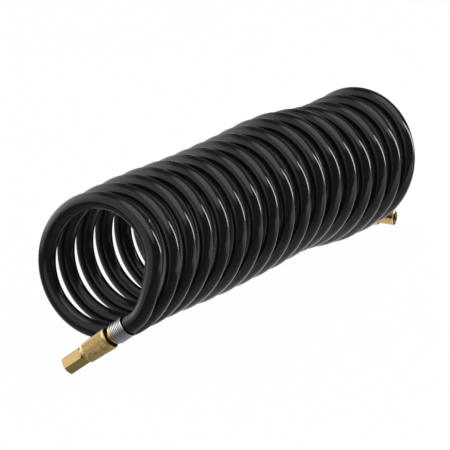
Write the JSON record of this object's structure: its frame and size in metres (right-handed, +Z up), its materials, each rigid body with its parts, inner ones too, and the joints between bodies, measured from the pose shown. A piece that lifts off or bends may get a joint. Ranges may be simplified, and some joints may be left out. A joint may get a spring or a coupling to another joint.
{
  "type": "soaker hose",
  "caption": "Coiled black water hose with a brass quick coupler under a spring guard at one end and a brass swivel stud under a spring guard at the other",
  "frame": {"origin": "On the floor under the middle of the lying coil", "axes": "+X along the coil from the coupler end to the swivel end, +Z up, +Y completes a right-handed set"},
  "size_m": [0.457, 0.1274, 0.14],
  "materials": {
    "hose": "gloss",
    "brass": "satin",
    "spring_steel": "bright zinc",
    "stainless": "polished",
    "seal_rubber": "matt"
  },
  "bodies": {
    "near_end": {"hose_near_end": "hose", "hose_coil": "hose", "near_spring_guard": "spring_steel", "near_plug": "brass"},
    "coupler": {"coupler_body": "brass", "coupler_hex_adapter": "brass", "locking_balls": "stainless", "sleeve_stop_ring": "stainless", "sleeve_spring": "stainless", "probe_seal": "seal_rubber", "valve_poppet": "brass", "valve_seal": "seal_rubber", "valve_spring": "stainless", "body_gasket": "seal_rubber"},
    "sleeve": {"coupler_sleeve": "brass"},
    "far_end": {"hose_far_end": "hose", "far_spring_guard": "spring_steel", "far_stem": "brass", "swivel_clip": "stainless", "swivel_seal": "seal_rubber"},
    "stud": {"far_swivel_stud": "brass"}
  },
  "joints": [
    {"name": "coil_stretch", "type": "slide", "parent": "near_end", "child": "far_end", "axis": [1, 0, 0], "range_m": [-0.12, 1.5], "stiffness_N_per_m": 12, "deforming": ["hose_coil"]},
    {"name": "coupler_swivel", "type": "hinge", "parent": "near_end", "child": "coupler", "pos_m": [-0.21376, -0.01601, 0.02633], "axis": [-0.21, 0.76, -0.615], "continuous": true},
    {"name": "sleeve_release", "type": "slide", "parent": "coupler", "child": "sleeve", "axis": [0.21, -0.76, 0.615], "range_m": [0, 0.0028], "stiffness_N_per_m": 1500, "springref_m": -0.001, "deforming": ["sleeve_spring"]},
    {"name": "stud_swivel", "type": "hinge", "parent": "far_end", "child": "stud", "pos_m": [0.21351, -0.01641, 0.0088], "axis": [0.187, -0.9822, -0.02], "continuous": true}
  ]
}
